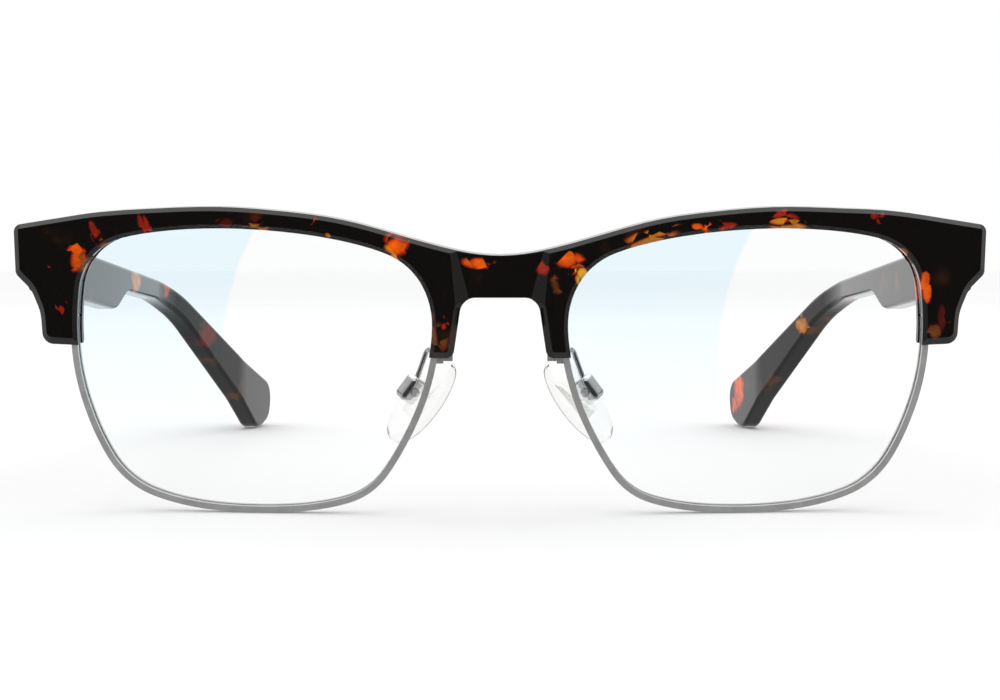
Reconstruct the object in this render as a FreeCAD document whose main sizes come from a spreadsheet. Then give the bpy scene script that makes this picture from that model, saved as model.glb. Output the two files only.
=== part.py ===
"""Half rim eyeglasses: an acetate brow front over wire rims, adjustable pads and folding temples.

The glasses stand open on a table: both rims and both temple tips touch z = 0, the lenses face -Y
and the temples run back along +Y. "left" and "right" are the wearer's, so left is +X.
Three kinds of construction frame are used, and every sub-part gets one of them as its Placement:
  front   the tilted front, with z up the lens and y from the front face to the back
  hinge   one for each side, with its origin on the hinge axis and y along the open temple
  pad     one for each side, with z along the nose pad and x pointing away from the nose
"""
import FreeCAD, Part
import math
import os
import re
from FreeCAD import Placement, Rotation, Vector

SIZES = {
    # front
    "front_tilt": 5.0, "front_along": -70.74, "front_lift": 0.21,
    "bow_radius": 380.0, "brow_thick": 4.4, "front_bevel": 0.9, "rear_bevel": 0.5, "opening_bevel": 0.6,
    "prism_start": -8.0, "prism_long": 30.0, "bow_tall": 160.0,
    "sheet_half": 80.0, "sheet_ahead": 5.0, "sheet_deep": 40.0, "sheet_low": -10.0, "sheet_tall": 65.0,
    # bridge scoop
    "scoop_top_half": 7.6, "scoop_top_floor": 7.2, "scoop_top_depth": 0.25,
    "scoop_low_half": 6.1, "scoop_low_floor": 3.4, "scoop_low_depth": 1.9,
    "scoop_top_level": 42.0, "scoop_low_level": 27.0, "scoop_ahead": 2.0, "scoop_flare": 0.001,
    # lenses and rims
    "lens_radius": 132.0, "lens_middle": 35.5, "lens_height": 20.8, "lens_inset": 0.4,
    "lens_wrap": 5.4, "lens_thick": 1.8, "lens_gap": 0.03, "tongue_thick": 0.8, "tongue_out": 0.33,
    "rim_wide": 0.95, "rim_deep": 2.0, "rim_gap": 0.05, "lip_over": 0.25,
    # rim closing blocks and screws
    "block_in": 62.3, "block_wide": 2.5, "block_deep": 2.2, "block_tall": 1.7, "block_split": 0.3,
    "block_level": 28.0, "block_front": 6.9, "block_screw": 0.5, "block_pocket": 0.15,
    "block_screw_off": 0.25, "block_head_over": 0.35, "block_head_tall": 0.6,
    "split_before": 1.5, "split_after": 2.0, "pocket_low": 23.0,
    # screw slots
    "slot_cut": 0.24, "slot_reach": 1.5,
    # brow tabs and screws
    "tab_thick": 0.6, "tab_wide": 2.3, "tab_tall": 5.6, "tab_in": 6.9, "tab_low": 21.7,
    "tab_step": 1.3, "tab_foot": 0.8, "tab_foot_over": 0.8, "tab_front": 2.0, "tab_gap": 0.2,
    "brow_screw": 0.5, "brow_screw_head": 0.9, "brow_screw_long": 2.6,
    "brow_screw_level": 25.6, "brow_screw_in": 7.9,
    # hinges
    "hinge_half": 64.7, "hinge_along": -61.79, "hinge_up": 35.95, "temple_slope": 5.0,
    "knuckle_radius": 1.25, "knuckle_tall": 1.36, "knuckle_step": 1.4, "pin_radius": 0.6,
    "pin_gap": 0.02, "pin_head": 1.0, "pin_head_tall": 0.5, "web_half": 0.55,
    "leaf_thick": 0.8, "leaf_wide": 5.0, "leaf_tall": 7.8, "leaf_start": -1.4,
    "side_leaf_long": 8.0, "side_leaf_tall": 5.2, "side_leaf_start": 1.0, "rivet_radius": 0.5,
    "rivet_long": 2.2, "rivet_sunk": 0.1, "end_gap": 0.1, "web_long": 3.6, "web_over": 1.0,
    "leaf_proud": 0.02, "bore_long": 12.0,
    # temples
    "temple_in": 1.5, "temple_edge": 0.8, "core_half": 0.6, "view_long": 60.0,
    # nose pads
    "pad_half": 11.6, "pad_along": -64.44, "pad_level": 16.2, "pad_lean": 36.7, "pad_splay": 38.0,
    "pad_long": 14.6, "pad_wide": 7.8, "pad_thick": 2.4, "pad_round": 0.9,
    "box_deep": 2.4, "box_wide": 2.7, "box_tall": 4.0, "box_start": 1.9, "box_up": 0.6,
    "box_edge": 0.8, "slot_wide": 1.4, "slot_tall": 3.0, "slot_deep": 2.1,
    "stem_wide": 1.2, "stem_tall": 1.8, "stem_axis": 3.0, "insert_long": 7.0, "insert_wide": 3.6,
    "insert_thick": 0.7, "pad_screw": 0.45, "pad_screw_head": 0.68, "pad_screw_head_tall": 0.25,
    "pad_bore_long": 6.0, "arm_sunk": 0.3,
    "arm_radius": 0.42, "arm_bend": 0.9, "arm_foot_half": 9.7, "arm_foot_back": 4.6, "arm_foot_up": 22.2,
    "arm_top_half": 10.3, "arm_top_back": 7.0, "arm_top_up": 24.2,
}

# Half of the front's top edge, from near its end to the middle of the bridge: (x, z).
TOP_EDGE = [(60.8, 42.95), (50.0, 43.9), (40.0, 44.2), (31.3, 43.65), (22.5, 42.45), (14.2, 40.25),
            (8.0, 38.55), (3.5, 37.65), (0.0, 37.4)]
# The rest of the half outline as corners, each with the radius that rounds it: (x, z, radius).
# It runs down the end to the lobe beside the lens, across the lens opening and up the nose side.
OUTLINE_CORNERS = [(71.0, 41.3, 1.2), (70.95, 34.2, 1.2), (68.6, 31.9, 4.0), (67.3, 28.6, 6.0),
                   (67.1, 24.0, 1.7), (6.75, 22.6, 1.2), (5.45, 31.3, 2.2)]
# The rim's inner edge, once around the lens.
LENS_EDGE = [(61.85, 29.0), (61.5, 20.0), (59.0, 11.6), (54.4, 4.6), (46.8, 1.45), (35.8, 0.5),
             (25.0, 1.4), (19.6, 3.4), (15.25, 8.8), (11.6, 16.5), (9.75, 24.0), (9.8, 30.3),
             (13.0, 35.9), (20.0, 39.1), (31.5, 41.0), (42.5, 41.35), (51.7, 40.5), (57.4, 38.7),
             (60.6, 35.2)]
# The temple seen from the side, from its front end and round the tip: (along, up, radius).
TEMPLE_SIDE = [(-6.0, 3.9, 0.0), (84.5, 4.3, 45.0), (119.0, -9.9, 30.0), (138.5, -14.9, 4.2),
               (137.0, -22.4, 4.5), (129.0, -25.5, 7.0), (85.0, 0.6, 40.0), (50.0, 0.1, 12.0),
               (41.5, -3.75, 9.0), (-6.0, -3.75, 0.0)]
# The temple seen from above, along its inner face and back along its outer face: (outward, along, radius).
TEMPLE_TOP = [(1.5, -6.0, 0.0), (1.5, 80.5, 40.0), (-8.6, 117.5, 40.0), (-12.4, 139.5, 0.0),
              (-8.9, 139.5, 0.0), (-4.8, 118.0, 36.0), (5.4, 81.0, 44.0), (5.4, -6.0, 0.0)]
# The middle line of the wire in the temple, seen from the side and from above.
CORE_SIDE = [(10.0, 0.1, 0.0), (45.0, 1.5, 60.0), (84.7, 2.55, 42.0), (123.0, -17.2, 0.0)]
CORE_TOP = [(3.45, 10.0, 0.0), (3.45, 80.7, 42.0), (-6.7, 118.0, 38.0), (-7.6, 123.0, 0.0)]

doc = FreeCAD.newDocument("half_rim_eyeglasses")
sheet = doc.addObject("Spreadsheet::Sheet", "Sizes")
for row, (alias, value) in enumerate(SIZES.items(), start=1):
    sheet.set(f"A{row}", alias)
    sheet.set(f"B{row}", str(value))
    sheet.setAlias(f"B{row}", alias)
doc.recompute()
nodes = []


def size(alias):
    return float(sheet.get(alias))


def formula(text):
    """A formula in plain aliases, such as 2 * rim_wide, as the document's expression engine reads it."""
    return re.sub(r"[a-z][a-z_]*", lambda word: "Sizes." + word.group(), text)


def bind(item, **formulas):
    for prop, text in formulas.items():
        item.setExpression(prop, formula(text))
    return item


def turn(axis, angle):
    return Rotation(Vector(*axis), angle)


# ---------------------------------------------------------------- frames

FRONT = Placement(
    Vector(0, size("front_along"), size("front_lift")), turn((1, 0, 0), size("front_tilt")))


def hinge_frame(side):
    return Placement(
        Vector(side * size("hinge_half"), size("hinge_along"), size("hinge_up")),
        turn((1, 0, 0), -size("temple_slope")))


def pad_frame(side):
    return Placement(
        Vector(side * size("pad_half"), size("pad_along"), size("pad_level")),
        turn((0, 1, 0), -side * size("pad_lean")).multiply(turn((0, 0, 1), -side * size("pad_splay"))))


def seen_from(home, frame):
    """Where a frame lies in the axes of another frame."""
    return home.inverse().multiply(frame)


# ---------------------------------------------------------------- building helpers

def add(kind, name, place=None, **formulas):
    item = doc.addObject(kind, name)
    if place is not None:
        item.Placement = place
    return bind(item, **formulas)


def at(x, y, z, rotation=None):
    return Placement(Vector(x, y, z), rotation or Rotation())


def box(name, side, low, high):
    """A block between two corners given as formulas (x, y, z); x is mirrored on the right side."""
    block = add("Part::Box", name, at(0, 0, 0))
    for prop, start, end in zip(("Length", "Width", "Height"), low, high):
        block.setExpression(prop, formula(f"({end}) - ({start})"))
    start_x = low[0] if side > 0 else f"-({high[0]})"
    for prop, start in zip("xyz", (start_x, low[1], low[2])):
        block.setExpression("Placement.Base." + prop, formula(start))
    return block


def rod(name, radius, height, place):
    return add("Part::Cylinder", name, place, Radius=radius, Height=height)


def cut(name, base, tool):
    item = doc.addObject("Part::Cut", name)
    item.Base, item.Tool = base, tool
    return item


def fuse(name, *shapes):
    item = doc.addObject("Part::MultiFuse", name)
    item.Shapes = list(shapes)
    return item


def common(name, *shapes):
    item = doc.addObject("Part::MultiCommon", name)
    item.Shapes = list(shapes)
    return item


def spline(points, closed=False):
    curve = Part.BSplineCurve()
    curve.interpolate([Vector(u, v, 0) for u, v in points], PeriodicFlag=closed)
    return curve


def line(start, end):
    return Part.LineSegment(Vector(*start, 0), Vector(*end, 0))


def mirrored(points):
    return [(-x, z) for x, z in points]


def sketch(name, place, curves):
    item = add("Sketcher::SketchObject", name, place)
    item.addGeometry(curves, False)
    return item


def prism(name, profile, direction, length):
    item = add("Part::Extrusion", name, LengthFwd=length)
    item.Base, item.DirMode, item.Dir, item.Solid = profile, "Custom", Vector(*direction), True
    return item


def facing(name, curves):
    """An outline in the front's own x, z plane, a little before its face."""
    return sketch(name, at(0, size("prism_start"), 0, turn((1, 0, 0), 90)), curves)


def node(item, label, place):
    """Name a finished sub-part and put its frame in front of the place it already has."""
    item.Label = label
    item.Placement = place
    nodes.append(item)
    return item


def edges_where(item, test):
    """The numbers of the edges whose two ends and middle all pass a test."""
    doc.recompute()
    found = []
    for number, edge in enumerate(item.Shape.Edges, start=1):
        middle = edge.valueAt((edge.FirstParameter + edge.LastParameter) / 2)
        points = [vertex.Point for vertex in edge.Vertexes] + [middle]
        if all(test(point) for point in points):
            found.append(number)
    return found


def bevel(name, base, alias, test, kind="Part::Chamfer"):
    item = doc.addObject(kind, name)
    item.Base = base
    item.Edges = [(number, size(alias), size(alias)) for number in edges_where(base, test)]
    return item


SIDES = (("left", 1), ("right", -1))
NEAR = 0.01


def on_face(point, inset):
    """Whether a point of the front lies on its bowed face, or on the surface this far behind it."""
    radius = size("bow_radius")
    return abs(math.hypot(point.x, point.y - radius) - (radius - inset)) < NEAR


# ---------------------------------------------------------------- front

def bow_cylinder(name, inset):
    """Everything behind a bowed face that lies this far behind the front's own face."""
    radius = size("bow_radius")
    return rod(name, f"bow_radius - ({inset})", "bow_tall", at(0, radius, -size("bow_tall") / 2))


def rounded(points, radii):
    """Straight runs between these points, with a tangent arc at each inner point."""
    curves, start = [], points[0]
    for before, corner, after, radius in zip(points, points[1:], points[2:], radii):
        into = (corner - before).normalize()
        out = (after - corner).normalize()
        half = into.getAngle(out) / 2
        reach = radius * math.tan(half)
        first, last = corner - into * reach, corner + out * reach
        middle = corner + (out - into).normalize() * (radius / math.cos(half) - radius)
        curves += [Part.LineSegment(start, first), Part.Arc(first, middle, last)]
        start = last
    return curves + [Part.LineSegment(start, points[-1])]


def brow_outline():
    """One smooth closed outline; its top edge leaves each end along the first straight run."""
    ends = [TOP_EDGE[0]] + [(x, z) for x, z, radius in OUTLINE_CORNERS]
    points = [Vector(x, z, 0) for x, z in ends + mirrored(ends)[::-1]]
    radii = [radius for x, z, radius in OUTLINE_CORNERS]
    top = mirrored(TOP_EDGE) + TOP_EDGE[-2::-1]
    curve = Part.BSplineCurve()
    curve.interpolate([Vector(x, z, 0) for x, z in top],
                      InitialTangent=(points[-1] - points[-2]), FinalTangent=(points[1] - points[0]))
    return facing("BrowOutline", [curve] + rounded(points, radii + radii[::-1]))


def bend(first, corner, last):
    """The arc that leaves first towards the corner and comes to last from it; both are as far from it."""
    into, out = (corner - first).normalize(), (last - corner).normalize()
    rise = (corner - first).Length * math.tan(into.getAngle(out) / 4)
    return Part.Arc(first, corner + (out - into).normalize() * rise, last)


def tangent_arcs(points):
    """A smooth closed line through these points, two arcs between neighbours; its offsets are arcs too."""
    guide = spline(points, closed=True)
    places = [Vector(u, v, 0) for u, v in points]
    ways = [Vector(*guide.tangent(guide.parameter(place))[0]) for place in places]
    curves = []
    for start, end, leave, arrive in zip(places, places[1:] + places[:1], ways, ways[1:] + ways[:1]):
        chord = end - start
        along = chord.dot(leave + arrive)
        spread = 2 * (1 - leave.dot(arrive))
        reach = chord.dot(chord) / (math.sqrt(along ** 2 + spread * chord.dot(chord)) + along)
        near, far = start + leave * reach, end - arrive * reach
        joint = (near + far) / 2
        curves += [bend(start, near, joint), bend(joint, far, end)]
    return curves


def lens_curve(side):
    return tangent_arcs([(side * x, z) for x, z in LENS_EDGE])


def lens_prism(name, side, outline, offset=None):
    profile = outline
    if offset is not None:
        profile = add("Part::Offset2D", name + "Line", Value=offset)
        profile.Source = outline
    return prism(name, profile, (0, 1, 0), "prism_long")


def dome(name, side, before, behind):
    """The space between two spheres about the lens's middle surface, which has the lens's curve."""
    wrap = math.radians(size("lens_wrap"))
    middle, radius = size("lens_middle"), size("lens_radius")
    surface = middle ** 2 / (2 * size("bow_radius")) + size("lens_inset")
    centre = at(side * (middle - radius * math.sin(wrap)), surface + radius * math.cos(wrap),
                size("lens_height"))
    outer = add("Part::Sphere", name + "Outer", centre, Radius=f"lens_radius + {before}")
    inner = add("Part::Sphere", name + "Inner", centre, Radius=f"lens_radius - ({behind})")
    return cut(name, outer, inner)


def rim_space(name, side, outline, gap="0"):
    """The space inside the rim's outer edge and between its faces, with a gap added all round."""
    return common(
        name, lens_prism(name + "Line", side, outline, f"rim_wide + {gap}"),
        dome(name + "Dome", side, f"rim_deep / 2 + {gap}", f"rim_deep / 2 + {gap}"))


def make_rim_and_lens(word, side, outline):
    tongue_space = common(
        f"TongueSpace{word}",
        lens_prism(f"TongueWide{word}", side, outline, "tongue_out + lens_gap"),
        dome(f"TongueDome{word}", side, "tongue_thick / 2 + lens_gap", "tongue_thick / 2 + lens_gap"))
    ring = cut(f"RimRing{word}", rim_space(f"RimBody{word}", side, outline),
               lens_prism(f"RimOpening{word}", side, outline))
    split = box(f"RimSplit{word}", side,
                ("block_in - split_before", "0", "block_level - block_split / 2"),
                ("block_in + split_after", "prism_long / 2", "block_level + block_split / 2"))
    rim = cut(f"Rim{word}", cut(f"RimGroove{word}", ring, tongue_space), split)
    node(rim, f"eyewire_{word}", FRONT)

    glass = common(
        f"Glass{word}", lens_prism(f"GlassLine{word}", side, outline, "-lens_gap"),
        dome(f"GlassDome{word}", side, "lens_thick / 2", "lens_thick / 2"))
    tongue = common(
        f"Tongue{word}", lens_prism(f"TongueLine{word}", side, outline, "tongue_out"),
        dome(f"TongueThin{word}", side, "tongue_thick / 2", "tongue_thick / 2"))
    node(fuse(f"Lens{word}", glass, tongue), f"lens_{word}", FRONT)


def scoop_section(name, level, ridge, floor, depth):
    """The bridge scoop cut across at one height: a flat floor between two sloping facets."""
    half, low, deep = size(ridge), size(floor), size(depth)
    ahead, wide = -size("scoop_ahead"), half + size("scoop_flare")
    points = [(-wide, ahead), (-half, 0.0), (-low, deep), (low, deep), (half, 0.0), (wide, ahead)]
    corners = points + points[:1]
    curves = [line(start, end) for start, end in zip(corners, corners[1:])]
    return sketch(name, at(0, 0, size(level)), curves)


def make_brow(outlines):
    blank = common("BrowBlank", prism("BrowPrism", brow_outline(), (0, 1, 0), "prism_long"),
                   bow_cylinder("BrowFace", "0"))
    shell = cut("BrowShell", blank, bow_cylinder("BrowBack", "brow_thick"))
    faced = bevel("BrowFaceBevel", shell, "front_bevel", lambda point: on_face(point, 0))
    eased = bevel("BrowBackBevel", faced, "rear_bevel", lambda point: on_face(point, size("brow_thick")))
    scoop = doc.addObject("Part::Loft", "BridgeScoop")
    scoop.Sections = [
        scoop_section("ScoopTop", "scoop_top_level", "scoop_top_half", "scoop_top_floor", "scoop_top_depth"),
        scoop_section("ScoopLow", "scoop_low_level", "scoop_low_half", "scoop_low_floor", "scoop_low_depth"),
    ]
    scoop.Solid, scoop.Ruled = True, True
    body = cut("BrowScooped", eased, scoop)
    body = common("BrowOpened", body, holed_sheet(outlines))
    for word, side in SIDES:
        groove = rim_space(f"BrowGroove{word}", side, outlines[word], "rim_gap")
        pocket = box(f"BlockPocket{word}", side,
                     ("block_in - block_pocket", "block_front - block_pocket", "pocket_low"),
                     ("block_in + block_wide + block_pocket", "prism_long / 2",
                      "block_level + block_split / 2 + block_tall + block_pocket"))
        screw_hole = rod(f"BrowScrewHole{word}", "brow_screw", "brow_screw_long", brow_screw_place(side))
        hinge_seat = hinge_anchor(f"HingeSeat{word}", side)
        body = cut(f"BrowCut{word}", body, fuse(f"BrowTools{word}", groove, pocket, screw_hole, hinge_seat))
    node(body, "brow_front", FRONT)


def holed_sheet(outlines):
    """A bowed sheet, larger than the front, with the two lens openings and their bevelled lips."""
    half, low, top = size("sheet_half"), size("sheet_low"), size("sheet_low") + size("sheet_tall")
    block = add("Part::Box", "SheetBlock", at(-half, -size("sheet_ahead"), low),
                Length="2 * sheet_half", Width="sheet_deep", Height="sheet_tall")
    sheet_blank = cut("SheetBlank", common("SheetFace", block, bow_cylinder("SheetFront", "0")),
                      bow_cylinder("SheetBack", "brow_thick"))
    openings = [lens_prism(f"Opening{word}", side, outlines[word], "-lip_over") for word, side in SIDES]
    holed = cut("SheetHoled", sheet_blank, fuse("Openings", *openings))
    return bevel("SheetBevel", holed, "opening_bevel", lambda point: on_face(point, 0)
                 and abs(point.x) < half - NEAR and low + NEAR < point.z < top - NEAR)


def brow_screw_place(side):
    """The screw's tip, deep in the pillar; it runs back from there to its head."""
    start = size("brow_thick") + size("tab_gap") + size("tab_thick") - size("brow_screw_long")
    return at(side * size("brow_screw_in"), start, size("brow_screw_level"), turn((1, 0, 0), -90))


def tab_body(name, side):
    """A brow tab's plate, behind the pillar, and its foot, which is brazed to the rim below."""
    back = "brow_thick + tab_gap"
    plate = box(name + "Plate", side, ("tab_in", back, "tab_low"),
                ("tab_in + tab_wide", back + " + tab_thick", "tab_low + tab_tall"))
    foot = box(name + "Foot", side, ("tab_in + tab_step", "tab_front", "tab_low"),
               ("tab_in + tab_wide + tab_foot_over", back + " + tab_thick", "tab_low + tab_foot"))
    return fuse(name, plate, foot)


def make_brow_fixings(word, side, outline):
    """The tab that holds the front to the rim at a pillar, with its screw."""
    clear = rod(f"TabHole{word}", "brow_screw", "brow_screw_long", brow_screw_place(side))
    tab = cut(f"TabCut{word}", tab_body(f"TabBody{word}", side), clear)
    node(cut(f"Tab{word}", tab, rim_space(f"TabRimSpace{word}", side, outline)), f"brow_tab_{word}", FRONT)
    shank = rod(f"BrowShank{word}", "brow_screw", "brow_screw_long", brow_screw_place(side))
    head_start = brow_screw_place(side)
    head_start.Base.y += size("brow_screw_long")
    head = rod(f"BrowHead{word}", "brow_screw_head", "tab_thick", head_start)
    slot = add("Part::Box", f"BrowSlot{word}", at(
        side * size("brow_screw_in") - size("slot_cut") / 2, head_start.Base.y + size("tab_thick") / 2,
        size("brow_screw_level") - size("slot_reach")),
        Length="slot_cut", Width="tab_thick", Height="2 * slot_reach")
    node(cut(f"BrowScrew{word}", fuse(f"BrowScrewBody{word}", shank, head), slot),
         f"brow_screw_{word}", FRONT)


def make_closing_blocks(word, side, outline):
    """The two blocks that close the split rim, and the screw that draws them together."""
    rim = rim_space(f"BlockRimSpace{word}", side, outline)
    middle = side * (size("block_in") + size("block_wide") / 2 + size("block_screw_off"))
    depth = size("block_front") + size("block_deep") / 2
    reach = size("block_tall") * 2 + size("block_split")
    start = size("block_level") - reach / 2
    for place, low in (("upper", "block_level + block_split / 2"),
                       ("lower", "block_level - block_split / 2 - block_tall")):
        block = box(f"Block{place}{word}", side, ("block_in", "block_front", low),
                    ("block_in + block_wide", "block_front + block_deep", low + " + block_tall"))
        bore = rod(f"BlockBore{place}{word}", "block_screw", "prism_long", at(middle, depth, start))
        node(cut(f"RimBlock{place}{word}", cut(f"BlockCut{place}{word}", block, rim), bore),
             f"rim_block_{place}_{word}", FRONT)
    shank = rod(f"RimScrewShank{word}", "block_screw", str(reach), at(middle, depth, start))
    head = rod(f"RimScrewHead{word}", "block_screw + block_head_over", "block_head_tall",
               at(middle, depth, start - size("block_head_tall")))
    slot_low = start - 1.6 * size("block_head_tall")
    slot = add("Part::Box", f"RimScrewSlot{word}",
               at(middle - size("slot_reach"), depth - size("slot_cut") / 2, slot_low),
               Length="2 * slot_reach", Width="slot_cut", Height="block_head_tall")
    node(cut(f"RimScrew{word}", fuse(f"RimScrewBody{word}", shank, head), slot), f"rim_screw_{word}", FRONT)


# ---------------------------------------------------------------- hinges

def knuckles(name, levels):
    """Rings of one hinge half, by their place above the hinge's middle in knuckle steps."""
    rings = []
    for number, level in enumerate(levels):
        low = level * size("knuckle_step") - size("knuckle_tall") / 2
        rings.append(rod(f"{name}Ring{number}", "knuckle_radius", "knuckle_tall", at(0, 0, low)))
    return rings


def webs(name, side, levels, start, end):
    """Flat pieces that join knuckles to their leaf, in the hinge frame; start and end are (x, y)."""
    blocks = []
    for number, level in enumerate(levels):
        low = f"{level} * knuckle_step - knuckle_tall / 2"
        blocks.append(box(f"{name}Web{number}", side, (start[0], start[1], low),
                          (end[0], end[1], low + " + knuckle_tall")))
    return blocks


def barrel(name, side, levels, start, end):
    """The knuckles and webs of one hinge half, bored for the pin."""
    rings, arms = knuckles(name, levels), webs(name, side, levels, start, end)
    bore = rod(name + "Bore", "pin_radius + pin_gap", "bore_long", at(0, 0, -size("bore_long") / 2))
    return cut(name + "Barrel", fuse(name + "Body", *rings, *arms), bore)


FRONT_KNUCKLES = (-2, 0, 2)
SIDE_KNUCKLES = (-1, 1)
RIVET_SHARES = (0.3, 0.8)


def hinge_anchor(name, side):
    """The part of the front hinge that is sunk in the front: its leaf and two rivets."""
    home = seen_from(FRONT, hinge_frame(side)).Base
    bow = math.asin(size("hinge_half") / size("bow_radius"))
    inner = size("bow_radius") - size("brow_thick")
    back = size("bow_radius") - inner * math.cos(bow)
    spot = at(side * inner * math.sin(bow), back, home.z, turn((0, 0, 1), side * math.degrees(bow)))
    leaf = box(name + "Leaf", side, ("leaf_start", "-leaf_thick", "-leaf_tall / 2"),
               ("leaf_start + leaf_wide", "0", "leaf_tall / 2"))
    rivets = []
    for number, share in enumerate(RIVET_SHARES):
        out = side * (size("leaf_start") + size("leaf_wide") * share)
        rivets.append(rod(f"{name}Rivet{number}", "rivet_radius", "rivet_long",
                          at(out, -size("rivet_sunk"), 0, turn((1, 0, 0), 90))))
    anchor = fuse(name, leaf, *rivets)
    anchor.Placement = spot
    return anchor


def make_hinge(word, side):
    front_half = barrel(f"FrontHinge{word}", side, FRONT_KNUCKLES, ("-web_half", "-web_long"),
                        ("web_half", "0"))
    front_half.Placement = seen_from(FRONT, hinge_frame(side))
    trimmed = common(f"FrontHingeTrim{word}", front_half,
                     bow_cylinder(f"HingeBack{word}", "brow_thick - leaf_thick / 2"))
    node(fuse(f"FrontHingeHalf{word}", trimmed, hinge_anchor(f"HingeAnchor{word}", side)),
         f"hinge_front_{word}", FRONT)

    side_half = barrel(f"SideHinge{word}", side, SIDE_KNUCKLES, ("0", "-web_half"),
                       ("temple_in - leaf_proud", "side_leaf_start + web_over"))
    node(fuse(f"SideHingeHalf{word}", side_half, side_leaf(f"SideLeaf{word}", side)),
         f"hinge_temple_{word}", hinge_frame(side))

    top = 2 * size("knuckle_step") + size("knuckle_tall") / 2
    pin = rod(f"PinShank{word}", "pin_radius", "4 * knuckle_step + knuckle_tall", at(0, 0, -top))
    head = rod(f"PinHead{word}", "pin_head", "pin_head_tall", at(0, 0, top))
    slot = add("Part::Box", f"PinSlot{word}",
               at(-size("slot_reach"), -size("slot_cut") / 2, top + size("pin_head_tall") / 2),
               Length="2 * slot_reach", Width="slot_cut", Height="pin_head_tall")
    node(cut(f"Pin{word}", fuse(f"PinBody{word}", pin, head), slot), f"hinge_screw_{word}", hinge_frame(side))


def side_leaf(name, side):
    """The part of the side hinge that is sunk in the temple: its leaf and two rivets."""
    leaf = box(name + "Plate", side, ("temple_in - leaf_proud", "side_leaf_start", "-side_leaf_tall / 2"),
               ("temple_in + leaf_thick", "side_leaf_start + side_leaf_long", "side_leaf_tall / 2"))
    rivets = []
    for number, share in enumerate(RIVET_SHARES):
        along = size("side_leaf_start") + size("side_leaf_long") * share
        rivets.append(rod(f"{name}Rivet{number}", "rivet_radius", "rivet_long",
                          at(side * size("temple_in"), along, 0, turn((0, 1, 0), side * 90))))
    return fuse(name, leaf, *rivets)


# ---------------------------------------------------------------- temples

def closed_outline(corners, side=1):
    """Straight runs and tangent arcs round these corners; the last run closes the outline."""
    points = [Vector(side * u, v, 0) for u, v, radius in corners]
    radii = [radius for u, v, radius in corners]
    curves, start = [], 0
    sharp = [number for number, radius in enumerate(radii) if radius == 0]
    for end in sharp[1:]:
        curves += rounded(points[start:end + 1], radii[start + 1:end])
        start = end
    return curves + [Part.LineSegment(points[-1], points[0])]


def band(middle_line, shift_u, shift_v):
    """The outline of a strip of even width about a middle line."""
    near = [(u - shift_u, v - shift_v, radius) for u, v, radius in middle_line]
    far = [(u + shift_u, v + shift_v, radius) for u, v, radius in middle_line]
    return near + far[::-1]


def crossed(name, side, side_view, top_view):
    """The solid that has this outline from the side and that one from above, in the hinge frame."""
    upright = Rotation(Vector(0, 1, 0), Vector(0, 0, 1), Vector(1, 0, 0), "ZXY")
    start = -size("view_long") / 2
    profile = sketch(name + "SideLine", at(start, 0, 0, upright), closed_outline(side_view))
    plan = sketch(name + "TopLine", at(0, 0, start), closed_outline(top_view, side))
    return common(name, prism(name + "Side", profile, (1, 0, 0), "view_long"),
                  prism(name + "Top", plan, (0, 0, 1), "view_long"))


def core_bar(name, side):
    half = size("core_half")
    return crossed(name, side, band(CORE_SIDE, 0, half), band(CORE_TOP, half, 0))


def make_temple(word, side):
    blank = crossed(f"TempleBlank{word}", side, TEMPLE_SIDE, TEMPLE_TOP)
    soft = bevel(f"TempleSoft{word}", blank, "temple_edge", lambda point: True, kind="Part::Fillet")
    soft.Edges = [edge for edge in soft.Edges if runs_along(blank, edge[0])]
    behind_front = bow_cylinder(f"BehindFront{word}", "brow_thick + end_gap")
    behind_front.Placement = seen_from(hinge_frame(side), FRONT).multiply(behind_front.Placement)
    body = common(f"TempleEnded{word}", soft, behind_front)
    tools = fuse(f"TempleTools{word}", core_bar(f"CoreSpace{word}", side),
                 side_leaf(f"LeafSpace{word}", side))
    node(cut(f"Temple{word}", body, tools), f"temple_{word}", hinge_frame(side))
    node(core_bar(f"Core{word}", side), f"temple_core_{word}", hinge_frame(side))


def runs_along(item, number):
    """Whether an edge runs along the temple or round its tip, and not straight across it."""
    edge = item.Shape.Edges[number - 1]
    start, end = (vertex.Point for vertex in edge.Vertexes)
    across = abs((end - start).x) > 0.9 * edge.Length
    upright = abs((end - start).z) > 0.99 * edge.Length
    return not (across or upright)


# ---------------------------------------------------------------- nose pads

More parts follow.
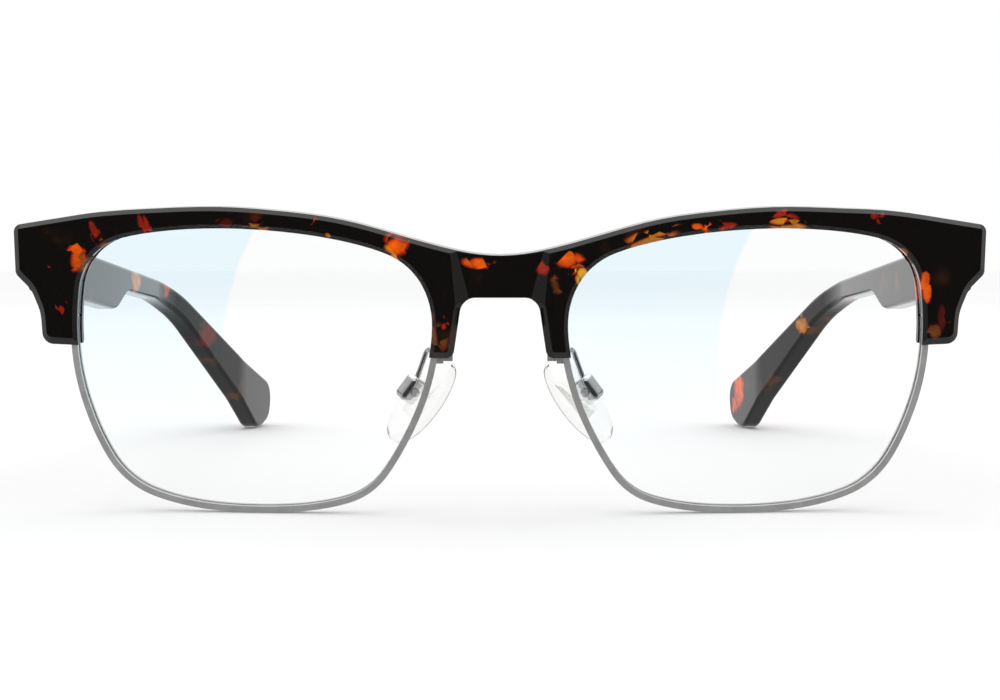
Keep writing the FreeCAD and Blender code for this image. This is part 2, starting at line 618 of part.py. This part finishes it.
def make_pad(word, side):
    home = pad_frame(side)
    oval = add("Part::Ellipse", f"PadLine{word}", at(
        -size("pad_thick") / 2, 0, 0, Rotation(Vector(0, 0, 1), Vector(0, 1, 0), Vector(1, 0, 0), "ZXY")),
        MajorRadius="pad_long / 2", MinorRadius="pad_wide / 2")
    blank = prism(f"PadBlank{word}", oval, (1, 0, 0), "pad_thick")
    soft = bevel(f"PadSoft{word}", blank, "pad_round", lambda point: True, kind="Part::Fillet")
    node(cut(f"Pad{word}", soft, insert(f"InsertSpace{word}", side, False)), f"nose_pad_{word}", home)
    node(insert(f"Insert{word}", side, True), f"pad_insert_{word}", home)

    shell = pad_box(f"ClipShell{word}", side)
    rounded_shell = bevel(f"ClipRound{word}", shell, "box_edge", on_box_edge, kind="Part::Fillet")
    slot = box(f"ClipSlot{word}", side, ("box_start - slot_wide", "-slot_wide / 2", "box_up - slot_tall / 2"),
               ("box_start + slot_deep", "slot_wide / 2", "box_up + slot_tall / 2"))
    bore = pad_bore(f"ClipBore{word}", side, "pad_screw")
    node(cut(f"Clip{word}", rounded_shell, fuse(f"ClipTools{word}", slot, bore)), f"pad_box_{word}", home)

    start = at(side * size("stem_axis"), size("box_wide") / 2, size("box_up"), turn((1, 0, 0), 90))
    shank = rod(f"ClipShank{word}", "pad_screw", "box_wide", start)
    head_at = at(side * size("stem_axis"), -size("box_wide") / 2, size("box_up"), turn((1, 0, 0), 90))
    head = rod(f"ClipHead{word}", "pad_screw_head", "pad_screw_head_tall", head_at)
    slot = add("Part::Box", f"ClipHeadSlot{word}", at(
        side * size("stem_axis") - size("slot_reach"),
        -size("box_wide") / 2 - 1.5 * size("pad_screw_head_tall"), size("box_up") - size("slot_cut") / 2),
        Length="2 * slot_reach", Width="pad_screw_head_tall", Height="slot_cut")
    node(cut(f"ClipScrew{word}", fuse(f"ClipScrewBody{word}", shank, head), slot), f"pad_screw_{word}", home)


def pad_box(name, side):
    """The block a pad box is made from, in the pad frame."""
    return box(name, side, ("box_start", "-box_wide / 2", "box_up - box_tall / 2"),
               ("box_start + box_deep", "box_wide / 2", "box_up + box_tall / 2"))


def on_box_edge(point):
    """Whether a point lies on the box's outer face or on one of the edges that run back from it."""
    outer = abs(point.x) > size("box_start") + size("box_deep") - NEAR
    beside = abs(point.y) > size("box_wide") / 2 - NEAR
    at_end = abs(point.z - size("box_up")) > size("box_tall") / 2 - NEAR
    return outer or (beside and at_end)


def pad_bore(name, side, radius):
    """A straight hole along the pad's rocking axis."""
    return rod(name, radius, "pad_bore_long", at(
        side * size("stem_axis"), -size("pad_bore_long") / 2, size("box_up"), turn((1, 0, 0), -90)))


def insert(name, side, bored):
    """The stiff plate inside a pad, with the stem that turns on the pad's screw."""
    plate = box(name + "Plate", side, ("-insert_thick / 2", "-insert_wide / 2", "box_up - insert_long / 2"),
                ("insert_thick / 2", "insert_wide / 2", "box_up + insert_long / 2"))
    stem = box(name + "Stem", side, ("0", "-stem_wide / 2", "box_up - stem_tall / 2"),
               ("stem_axis", "stem_wide / 2", "box_up + stem_tall / 2"))
    eye = rod(name + "Eye", "stem_tall / 2", "stem_wide", at(
        side * size("stem_axis"), -size("stem_wide") / 2, size("box_up"), turn((1, 0, 0), -90)))
    body = fuse(name, plate, stem, eye)
    if not bored:
        return body
    return cut(name + "Bored", body, pad_bore(name + "Bore", side, "pad_screw + pin_gap"))


def make_arm(word, side):
    """The bent wire that holds a pad box: up and back from the brow tab, over, and down into the box."""
    inside = seen_from(FRONT, pad_frame(side))
    box_end = inside.multVec(Vector(
        side * (size("box_start") + size("box_deep") / 2), 0,
        size("box_up") + size("box_tall") / 2 - size("arm_sunk")))
    points = [Vector(side * size("arm_foot_half"), size("arm_foot_back"), size("arm_foot_up")),
              Vector(side * size("arm_top_half"), size("arm_top_back"), size("arm_top_up")), box_end]
    path = Part.Wire([curve.toShape() for curve in rounded(points, [size("arm_bend")])])
    circle = Part.Wire([Part.Circle(points[0], points[1] - points[0], size("arm_radius")).toShape()])
    arm = doc.addObject("Part::Feature", f"Arm{word}")
    arm.Shape = path.makePipeShell([circle], True, False)
    clip_space = add("Part::Compound", f"ArmClipSpace{word}")
    clip_space.Links, clip_space.Placement = [pad_box(f"ArmClip{word}", side)], inside
    joined = cut(f"ArmJoined{word}", arm, tab_body(f"ArmTab{word}", side))
    node(cut(f"ArmCut{word}", joined, clip_space), f"pad_arm_{word}", FRONT)


# ---------------------------------------------------------------- assembly and files

outlines = {word: facing(f"LensOutline{word}", lens_curve(side)) for word, side in SIDES}
make_brow(outlines)
for word, side in SIDES:
    make_rim_and_lens(word, side, outlines[word])
    make_closing_blocks(word, side, outlines[word])
    make_brow_fixings(word, side, outlines[word])
    make_hinge(word, side)
    make_temple(word, side)
    make_pad(word, side)
    make_arm(word, side)
doc.recompute()

bad = [item.Name for item in doc.Objects if {"Invalid", "Error"} & set(item.State)]
for item in nodes:
    if item.Shape.isNull() or not item.Shape.isValid() or not item.Shape.Solids:
        bad.append(item.Label)
if bad:
    raise SystemExit(f"these did not build: {bad}")

os.makedirs("parts", exist_ok=True)
for item in nodes:
    item.Shape.exportStep(f"parts/{item.Label}.step")
    print(item.Label, len(item.Shape.Solids), round(item.Shape.Volume, 2))
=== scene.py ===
"""Half rim eyeglasses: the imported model's own pieces with finished materials, on a pale studio floor."""
import math

import bpy
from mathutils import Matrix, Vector


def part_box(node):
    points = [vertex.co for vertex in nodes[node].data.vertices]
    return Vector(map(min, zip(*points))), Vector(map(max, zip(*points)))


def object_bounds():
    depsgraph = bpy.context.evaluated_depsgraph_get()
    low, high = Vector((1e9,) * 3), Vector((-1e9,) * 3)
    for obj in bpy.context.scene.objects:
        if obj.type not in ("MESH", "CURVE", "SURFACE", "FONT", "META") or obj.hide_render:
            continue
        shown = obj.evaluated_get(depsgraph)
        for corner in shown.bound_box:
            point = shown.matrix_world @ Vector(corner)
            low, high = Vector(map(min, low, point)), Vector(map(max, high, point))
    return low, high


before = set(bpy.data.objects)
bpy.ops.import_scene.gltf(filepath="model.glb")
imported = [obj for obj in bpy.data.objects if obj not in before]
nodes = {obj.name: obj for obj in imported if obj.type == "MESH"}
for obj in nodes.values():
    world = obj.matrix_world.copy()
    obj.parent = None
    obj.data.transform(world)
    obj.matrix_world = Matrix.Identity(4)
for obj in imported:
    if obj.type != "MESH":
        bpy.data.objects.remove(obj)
start_low, start_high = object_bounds()

MM = 0.001

# Tortoise colours, in linear light.
BASE = (0.0045, 0.0035, 0.003)
ORANGE = (0.95, 0.12, 0.003)
AMBER = (0.75, 0.25, 0.01)
YELLOW = (0.85, 0.45, 0.03)
RED = (0.4, 0.02, 0.006)
DARK_RED = (0.09, 0.008, 0.004)
BROWN = (0.16, 0.05, 0.012)
OLIVE = (0.07, 0.045, 0.014)
# Painted reflection: what one face of the lens lets through where its painted blue reflection is strongest.
LENS_PAINTED_SHEEN = (0.905, 0.972, 1.0)
LENS_CLEAR = (0.995, 0.998, 0.998)
# The painted reflection ends at an arc of this radius, and its leftmost point is at these shares of the
# lens's box.
SHEEN_RADIUS = 38 * MM
SHEEN_ACROSS, SHEEN_UP = 0.42, 0.53
# How bright the room is that glossy pieces see ahead, to the sides, overhead and below; it is 1 behind.
DARK_BAND, BESIDE, OVERHEAD, BELOW = 0.04, 0.5, 1.05, 0.35
# The floor is a shade of white that comes out as bright as the sky behind the glasses.
FLOOR_TONE = 0.98
FLOOR_WIDE = 60.0
# The camera's distance ahead of the front, height, downward dip in degrees and focal length.
CAMERA_AHEAD, CAMERA_UP, CAMERA_DIP, CAMERA_LENS = 240 * MM, 35.7 * MM, 2.76, 60.84

# Patches of the front in mm: middle x and z, half width and half height, tilt in degrees, colour, strength.
FRONT_PATCHES = [
    (-61.0, 37.0, 1.5, 1.9, 10, ORANGE, 0.9), (-58.4, 40.7, 0.6, 1.2, -20, RED, 0.8),
    (-51.0, 41.8, 0.5, 1.6, -15, RED, 0.8), (-39.3, 42.8, 1.3, 0.7, 0, DARK_RED, 0.9),
    (-34.6, 42.8, 0.9, 0.7, 0, DARK_RED, 0.9), (-35.1, 41.7, 2.2, 0.4, 0, AMBER, 0.6),
    (-26.2, 42.6, 0.5, 0.5, 0, ORANGE, 0.5), (-24.4, 41.0, 0.5, 0.5, 0, AMBER, 0.6),
    (-14.7, 39.2, 2.4, 1.5, 15, ORANGE, 1.0), (-15.5, 37.9, 1.5, 0.8, 20, AMBER, 0.9),
    (-3.2, 36.1, 2.2, 1.0, 5, ORANGE, 0.9), (5.8, 35.7, 1.2, 1.3, 0, RED, 0.9),
    (-7.6, 28.2, 0.35, 0.6, 0, RED, 0.9),
    (10.2, 37.0, 2.0, 1.7, -15, ORANGE, 1.0), (11.3, 34.8, 0.9, 1.1, 0, YELLOW, 0.9),
    (8.0, 33.4, 1.4, 1.5, 0, BROWN, 0.9), (21.4, 40.1, 4.4, 0.8, -16, AMBER, 0.8),
    (28.6, 41.2, 1.0, 0.6, 0, ORANGE, 0.9), (32.0, 41.8, 1.5, 0.5, 0, RED, 0.8),
    (40.5, 43.4, 1.8, 0.8, 0, RED, 0.9), (41.4, 41.8, 2.7, 0.6, 0, AMBER, 0.8),
    (54.5, 43.2, 0.6, 0.5, 0, RED, 0.6), (58.6, 35.0, 1.2, 4.0, -14, AMBER, 0.7),
    (61.3, 33.0, 0.7, 2.1, 0, ORANGE, 0.9), (64.5, 28.9, 0.7, 2.2, 0, DARK_RED, 0.9),
    (63.4, 26.5, 1.0, 1.5, 0, BROWN, 1.0), (-8.9, 26.3, 0.9, 2.7, -10, BROWN, 0.9),
    (-66.0, 36.1, 0.5, 0.4, 0, RED, 0.8), (-63.9, 30.0, 0.4, 0.7, 0, RED, 0.8),
    (-55.3, 39.2, 2.2, 0.9, 0, AMBER, 0.7), (-59.6, 36.0, 1.2, 1.5, 0, OLIVE, 0.9),
]
# Patches of a temple in mm: middle y and z, half length and half height, colour, strength.
TEMPLE_PATCHES = {
    "left": [(33.5, 24.1, 2.8, 1.8, AMBER, 0.8),
             (66.6, 8.4, 4.0, 4.2, ORANGE, 1.0), (69.5, 4.6, 2.2, 2.4, ORANGE, 1.0),
             (-32.0, 33.3, 2.0, 1.4, BROWN, 0.7)],
    "right": [(-6.0, 33.8, 3.8, 2.6, AMBER, 0.9), (19.4, 32.0, 1.8, 1.4, ORANGE, 0.6),
              (38.0, 22.0, 4.0, 2.4, RED, 0.45)],
}


class Graph:
    """A material and short calls that add nodes to it."""

    def __init__(self, name):
        self.material = bpy.data.materials.new(name)
        self.material.use_nodes = True
        self.tree = self.material.node_tree
        self.shader = self.tree.nodes["Principled BSDF"]
        self.place = self.node("ShaderNodeTexCoord").outputs["Object"]

    def node(self, kind, settings=(), **inputs):
        made = self.tree.nodes.new(kind)
        for key, value in dict(settings).items():
            setattr(made, key, value)
        for key, value in inputs.items():
            self.feed(made.inputs[key.replace("_", " ")], value)
        return made

    def feed(self, socket, value):
        if isinstance(value, bpy.types.NodeSocket):
            self.tree.links.new(value, socket)
        else:
            socket.default_value = value

    def noise(self, size, detail=4.0, place=None, stretch=None):
        """Noise whose grain is about this size in metres."""
        place = place or self.place
        if stretch:
            place = self.node("ShaderNodeMapping", Vector=place, Scale=stretch).outputs[0]
        return self.node("ShaderNodeTexNoise", Vector=place, Scale=1 / size, Detail=detail)

    def spread(self, value, low, high, to_low=0.0, to_high=1.0):
        made = self.node("ShaderNodeMapRange", {"interpolation_type": "SMOOTHSTEP"}, Value=value)
        for key, number in zip(("From Min", "From Max", "To Min", "To Max"), (low, high, to_low, to_high)):
            made.inputs[key].default_value = number
        return made.outputs[0]

    def mix(self, share, first, second):
        made = self.node("ShaderNodeMix", {"data_type": "RGBA"})
        self.feed(made.inputs[0], share)
        for socket, colour in ((made.inputs[6], first), (made.inputs[7], second)):
            self.feed(socket, (*colour, 1.0) if isinstance(colour, tuple) else colour)
        return made.outputs[2]

    def multiply(self, first, second):
        made = self.node("ShaderNodeMath", {"operation": "MULTIPLY"})
        self.feed(made.inputs[0], first)
        self.feed(made.inputs[1], second)
        return made.outputs[0]

    def bump(self, height, depth):
        made = self.node("ShaderNodeBump", Height=height, Distance=depth)
        self.feed(self.shader.inputs["Normal"], made.outputs[0])

    def set(self, **inputs):
        for key, value in inputs.items():
            self.feed(self.shader.inputs[key.replace("_", " ")], value)
        return self


def wavering(graph, size, reach):
    """The object's own coordinates, pushed about by noise so that the patches get uneven edges."""
    push = graph.node("ShaderNodeVectorMath", {"operation": "SUBTRACT"})
    shards = graph.node("ShaderNodeTexVoronoi", Vector=graph.place, Scale=1 / size)
    both = graph.mix(0.7, graph.noise(size, 2.0).outputs["Color"], shards.outputs["Color"])
    graph.feed(push.inputs[0], both)
    push.inputs[1].default_value = (0.5, 0.5, 0.5)
    scaled = graph.node("ShaderNodeVectorMath", {"operation": "SCALE"})
    graph.feed(scaled.inputs[0], push.outputs[0])
    scaled.inputs["Scale"].default_value = reach
    total = graph.node("ShaderNodeVectorMath", {"operation": "ADD"})
    graph.feed(total.inputs[0], graph.place)
    graph.feed(total.inputs[1], scaled.outputs[0])
    return total.outputs[0]


def tortoise(name, patches, mottle):
    """Near black acetate with patches, each (middle, half sizes, tilt about y, colour, strength)."""
    graph = Graph(name)
    place = wavering(graph, 1.9 * MM, 2.1 * MM)
    cloud = graph.spread(graph.noise(7 * MM, 3.0).outputs[0], 0.58, 0.72, 0.0, mottle)
    colour = graph.mix(cloud, BASE, BROWN)
    grain = graph.spread(graph.noise(1.8 * MM, 3.0).outputs[0], 0.3, 0.7, 0.55, 1.0)
    for middle, half, tilt, shade, strength in patches:
        spot = graph.node("ShaderNodeMapping", {"vector_type": "TEXTURE"}, Vector=place,
                          Location=[MM * v for v in middle], Rotation=(0, math.radians(tilt), 0),
                          Scale=[MM * v for v in half])
        away = graph.node("ShaderNodeVectorMath", {"operation": "LENGTH"})
        graph.feed(away.inputs[0], spot.outputs[0])
        share = graph.multiply(graph.spread(away.outputs["Value"], 1.12, 0.8, 0.0, strength), grain)
        edge = tuple(part * keep for part, keep in zip(shade, (0.6, 0.2, 0.3)))
        glow = graph.mix(graph.spread(away.outputs["Value"], 1.05, 0.6), edge, shade)
        colour = graph.mix(share, colour, glow)
    graph.set(Base_Color=colour, IOR=1.49,
              Roughness=graph.spread(graph.noise(5 * MM).outputs[0], 0.3, 0.7, 0.05, 0.11))
    graph.bump(graph.noise(0.35 * MM, 2.0).outputs[0], 0.0006 * MM)
    return graph.material


def metal(name, colour, low, high, grain, stretch=(1.0, 1.0, 1.0), relief=0.0006 * MM, share=1.0):
    """Metal whose polish and tone vary with a fine grain."""
    graph = Graph(name)
    tone = graph.noise(grain, 4.0, stretch=stretch).outputs[0]
    dark = tuple(0.9 * part for part in colour)
    graph.set(Base_Color=graph.mix(graph.spread(tone, 0.35, 0.65), dark, colour), Metallic=share,
              Roughness=graph.spread(tone, 0.3, 0.7, low, high))
    graph.bump(graph.noise(grain / 3, 2.0, stretch=stretch).outputs[0], relief)
    return graph.material


def pad_silicone():
    """Clear soft plastic with faint clouding."""
    graph = Graph("pad_silicone")
    cloud = graph.noise(1.6 * MM, 3.0).outputs[0]
    graph.set(Base_Color=graph.mix(graph.spread(cloud, 0.4, 0.6), (0.97, 0.97, 0.96), (1.0, 1.0, 0.99)),
              IOR=1.14, Transmission_Weight=1.0, Roughness=graph.spread(cloud, 0.3, 0.7, 0.08, 0.16))
    graph.bump(graph.noise(0.9 * MM, 2.0).outputs[0], 0.002 * MM)
    return graph.material


def see_through(graph, tint, roughness):
    """Finish a thin clear material: what is behind it shows unbent, with a gloss that grows at a slant."""
    through = graph.node("ShaderNodeBsdfTransparent", Color=tint)
    gloss = graph.node("ShaderNodeBsdfGlossy", Roughness=roughness)
    slant = graph.node("ShaderNodeMath", {"operation": "POWER"})
    graph.feed(slant.inputs[0], graph.node("ShaderNodeLayerWeight", Blend=0.5).outputs["Facing"])
    slant.inputs[1].default_value = 4.0
    both = graph.node("ShaderNodeMixShader")
    graph.feed(both.inputs[0], graph.spread(slant.outputs[0], -0.1, 1.2, 0.0, 0.4))
    graph.feed(both.inputs[1], through.outputs[0])
    graph.feed(both.inputs[2], gloss.outputs[0])
    graph.feed(graph.tree.nodes["Material Output"].inputs["Surface"], both.outputs[0])
    graph.tree.nodes.remove(graph.shader)
    return graph.material


def lens_glass(name, side):
    """Clear lens with a painted pale blue reflection from its -X edge to an arc, which fades towards its
    foot.
    """
    low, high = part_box(f"lens_{side}")
    graph = Graph(name)
    flat = graph.node("ShaderNodeVectorMath", {"operation": "MULTIPLY"})
    graph.feed(flat.inputs[0], graph.place)
    flat.inputs[1].default_value = (1, 0, 1)
    away = graph.node("ShaderNodeVectorMath", {"operation": "DISTANCE"})
    graph.feed(away.inputs[0], flat.outputs[0])
    away.inputs[1].default_value = (low.x + (high.x - low.x) * SHEEN_ACROSS + SHEEN_RADIUS, 0,
                                    low.z + (high.z - low.z) * SHEEN_UP)
    # Painted reflection: a pale blue tint inside the arc, strongest near the top and fading towards the
    # foot.
    inside = graph.spread(away.outputs["Value"], SHEEN_RADIUS - 0.05 * MM, SHEEN_RADIUS + 0.25 * MM)
    up = graph.node("ShaderNodeSeparateXYZ")
    graph.feed(up.inputs[0], graph.place)
    rise = graph.spread(up.outputs["Z"], low.z + 2 * MM, high.z, 0.0, 1.0)
    cloud = graph.spread(graph.noise(14 * MM, 2.0).outputs[0], 0.2, 0.8, 0.93, 1.0)
    share = graph.multiply(graph.multiply(rise, inside), cloud)
    return see_through(graph, graph.mix(share, LENS_CLEAR, LENS_PAINTED_SHEEN), 0.03)


def insert_plastic():
    """Clear plate that barely shows inside its clear pad."""
    graph = Graph("insert_plastic")
    cloud = graph.spread(graph.noise(1.2 * MM, 3.0).outputs[0], 0.3, 0.7)
    return see_through(graph, graph.mix(cloud, (0.97, 0.97, 0.96), (0.99, 0.99, 0.985)), 0.15)


def front_patches():
    """The front's patches as solid ellipsoids that pass right through it."""
    low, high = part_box("brow_front")
    middle, half = (low.y + high.y) / 2 / MM, (high.y - low.y) / MM
    return [((x, middle, z), (wide, half, tall), tilt, shade, strength)
            for x, z, wide, tall, tilt, shade, strength in FRONT_PATCHES]


def temple_patches(side):
    low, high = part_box(f"temple_{side}")
    middle, half = (low.x + high.x) / 2 / MM, (high.x - low.x) / MM
    return [((middle, y, z), (half, deep, tall), 0, shade, strength)
            for y, z, deep, tall, shade, strength in TEMPLE_PATCHES[side]]


def finish_pieces():
    rim = metal("rim_satin", (0.72, 0.72, 0.71), 0.3, 0.4, 2.5 * MM, relief=0.0001 * MM, share=0.7)
    hinge = metal("hinge_nickel", (0.68, 0.67, 0.65), 0.2, 0.3, 0.6 * MM, relief=0.0002 * MM)
    chrome = metal("box_chrome", (0.85, 0.85, 0.85), 0.04, 0.09, 0.5 * MM)
    steel = metal("screw_steel", (0.6, 0.6, 0.6), 0.1, 0.2, 0.3 * MM)
    core = metal("core_wire", (0.55, 0.55, 0.54), 0.3, 0.45, 0.7 * MM, (1.0, 0.15, 1.0))
    materials = {
        "eyewire": rim, "rim_block_upper": rim, "rim_block_lower": rim, "brow_tab": rim, "pad_arm": chrome,
        "hinge_front": hinge, "hinge_temple": hinge, "pad_box": chrome, "temple_core": core,
        "rim_screw": steel, "brow_screw": steel, "pad_screw": steel, "hinge_screw": steel,
        "nose_pad": pad_silicone(),
        "pad_insert": insert_plastic(),
    }
    brow = tortoise("tortoise_front", front_patches(), 0.12)
    for name, piece in nodes.items():
        kind, _, side = name.rpartition("_")
        if name == "brow_front":
            material = brow
        elif kind == "lens":
            material = lens_glass(f"lens_clear_{side}", side)
        elif kind == "temple":
            material = tortoise(f"tortoise_{side}", temple_patches(side), 0.4)
        else:
            material = materials[kind]
        piece.data.materials.clear()
        piece.data.materials.append(material)


def floor():
    bpy.ops.mesh.primitive_plane_add(size=FLOOR_WIDE, location=(0, 0, start_low.z - 0.02 * MM))
    plane = bpy.context.object
    plane.name = "floor"
    graph = Graph("floor_white")
    tone = graph.spread(graph.noise(0.3, 2.0).outputs[0], 0.3, 0.7, FLOOR_TONE - 0.01, FLOOR_TONE + 0.01)
    colour = graph.node("ShaderNodeCombineColor", Red=tone, Green=tone, Blue=tone)
    graph.set(Base_Color=colour.outputs[0], Roughness=0.9)
    plane.data.materials.append(graph.material)
    plane.visible_glossy = False


def soft_light(name, place, aim, width, power):
    """A square area light of this width in metres and power in watts."""
    lamp = bpy.data.lights.new(name, "AREA")
    lamp.shape, lamp.size, lamp.energy = "SQUARE", width, power
    item = bpy.data.objects.new(name, lamp)
    item.location = place
    item.rotation_euler = (Vector(aim) - Vector(place)).to_track_quat("-Z", "Y").to_euler()
    bpy.context.scene.collection.objects.link(item)


def sky():
    """White all round, but glossy pieces see a dark room ahead of the glasses and a bright one overhead."""
    world = bpy.data.worlds.new("studio")
    bpy.context.scene.world = world
    world.use_nodes = True
    tree = world.node_tree

    def math_node(operation, first, second):
        made = tree.nodes.new("ShaderNodeMath")
        made.operation = operation
        for socket, value in zip(made.inputs, (first, second)):
            if isinstance(value, float):
                socket.default_value = value
            else:
                tree.links.new(value, socket)
        return made.outputs[0]

    def ramp(value, *limits):
        made = tree.nodes.new("ShaderNodeMapRange")
        tree.links.new(value, made.inputs["Value"])
        for key, number in zip(("From Min", "From Max", "To Min", "To Max"), limits):
            made.inputs[key].default_value = number
        return made.outputs[0]

    parts = tree.nodes.new("ShaderNodeSeparateXYZ")
    tree.links.new(tree.nodes.new("ShaderNodeTexCoord").outputs["Generated"], parts.inputs[0])
    # Each ramp runs between two heights, or two places from front to back, on a sphere of radius 1.
    up, back = parts.outputs["Z"], parts.outputs["Y"]
    above = ramp(up, 0.4, 0.75, DARK_BAND, OVERHEAD)
    below = ramp(up, -0.4, -0.75, DARK_BAND, BELOW)
    beside = ramp(back, -0.7, -0.2, DARK_BAND, BESIDE)
    behind = ramp(back, 0.5, 0.9, DARK_BAND, 1.0)
    room = math_node("MAXIMUM", math_node("MAXIMUM", above, below), math_node("MAXIMUM", beside, behind))
    glossy = tree.nodes.new("ShaderNodeLightPath").outputs["Is Glossy Ray"]
    change = math_node("MULTIPLY", glossy, math_node("SUBTRACT", room, 1.0))
    tree.links.new(math_node("ADD", change, 1.0), tree.nodes["Background"].inputs["Strength"])
    tree.nodes["Background"].inputs["Color"].default_value = (1, 1, 1, 1)


def camera():
    """Level with the upper part of the lenses and ahead of the front, looking slightly down."""
    lens = bpy.data.cameras.new("camera")
    lens.sensor_width, lens.lens = 36.0, CAMERA_LENS
    lens.clip_start, lens.clip_end = 0.01, 20.0
    item = bpy.data.objects.new("camera", lens)
    item.location = (0, start_low.y - CAMERA_AHEAD, CAMERA_UP)
    item.rotation_euler = (math.radians(90 - CAMERA_DIP), 0, 0)
    bpy.context.scene.collection.objects.link(item)
    bpy.context.scene.camera = item


finish_pieces()
floor()
soft_light("top", (0, 0.25, 1.0), (0, 0, 0), 1.4, 1.8)
sky()
camera()
bpy.context.scene.view_settings.view_transform = "Standard"
